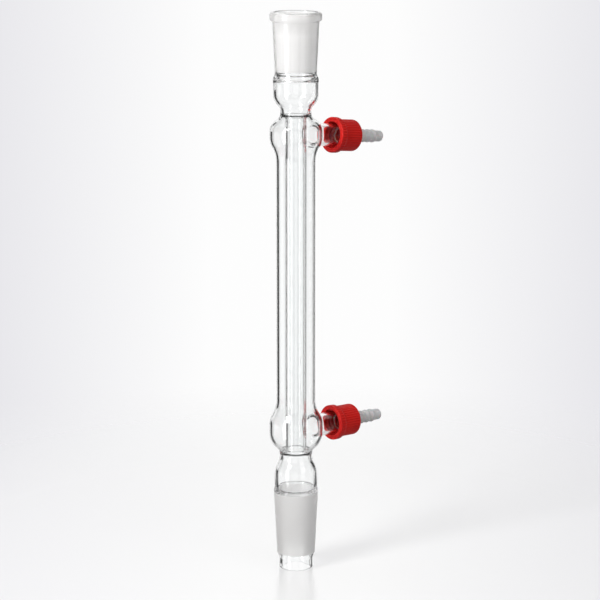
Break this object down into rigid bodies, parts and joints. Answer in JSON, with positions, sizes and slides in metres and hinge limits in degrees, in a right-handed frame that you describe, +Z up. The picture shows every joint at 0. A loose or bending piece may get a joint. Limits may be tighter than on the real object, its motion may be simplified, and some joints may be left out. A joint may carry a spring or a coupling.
{
  "type": "straight condenser",
  "caption": "Straight glass condenser: a vapour tube inside a water jacket, ground joints at both ends, and side arms with screw caps and hose connectors.",
  "frame": {"origin": "on the axis of the lower ground cone, in its gauge plane, where the cone measures 24.0 mm across", "axes": "+Z up along the condenser, from the drip tip to the socket; +X the way the two side arms point"},
  "size_m": [0.0771, 0.0302, 0.3162],
  "materials": {
    "clear_glass": "clear fire-polished borosilicate, ground matt on the socket and the cone",
    "red_plastic": "moulded red plastic, satin, ribbed",
    "pale_plastic": "translucent natural plastic",
    "silicone": "soft translucent silicone"
  },
  "bodies": {
    "envelope": {"condenser_glass": "clear_glass"},
    "upper_connector_body": {"upper_hose_connector": "pale_plastic", "upper_seal": "silicone"},
    "upper_cap_body": {"upper_screw_cap": "red_plastic"},
    "lower_connector_body": {"lower_hose_connector": "pale_plastic", "lower_seal": "silicone"},
    "lower_cap_body": {"lower_screw_cap": "red_plastic"}
  },
  "joints": [
    {"name": "upper_cap_travel", "type": "slide", "parent": "envelope", "child": "upper_connector_body", "axis": [0.9945, 0, -0.1045], "range_m": [0, 0.0075]},
    {"name": "upper_cap_turn", "type": "hinge", "parent": "upper_connector_body", "child": "upper_cap_body", "pos_m": [0.03381, 0, 0.21205], "axis": [0.9945, 0, -0.1045], "range_deg": [0, 1080]},
    {"name": "lower_cap_travel", "type": "slide", "parent": "envelope", "child": "lower_connector_body", "axis": [0.9997, 0, -0.0262], "range_m": [0, 0.0075]},
    {"name": "lower_cap_turn", "type": "hinge", "parent": "lower_connector_body", "child": "lower_cap_body", "pos_m": [0.03399, 0, 0.04661], "axis": [0.9997, 0, -0.0262], "range_deg": [0, 1080]}
  ],
  "couplings": [
    {"joint": "upper_cap_travel", "follows": "upper_cap_turn", "m_per_rad": 0.00039788},
    {"joint": "lower_cap_travel", "follows": "lower_cap_turn", "m_per_rad": 0.00039788}
  ]
}
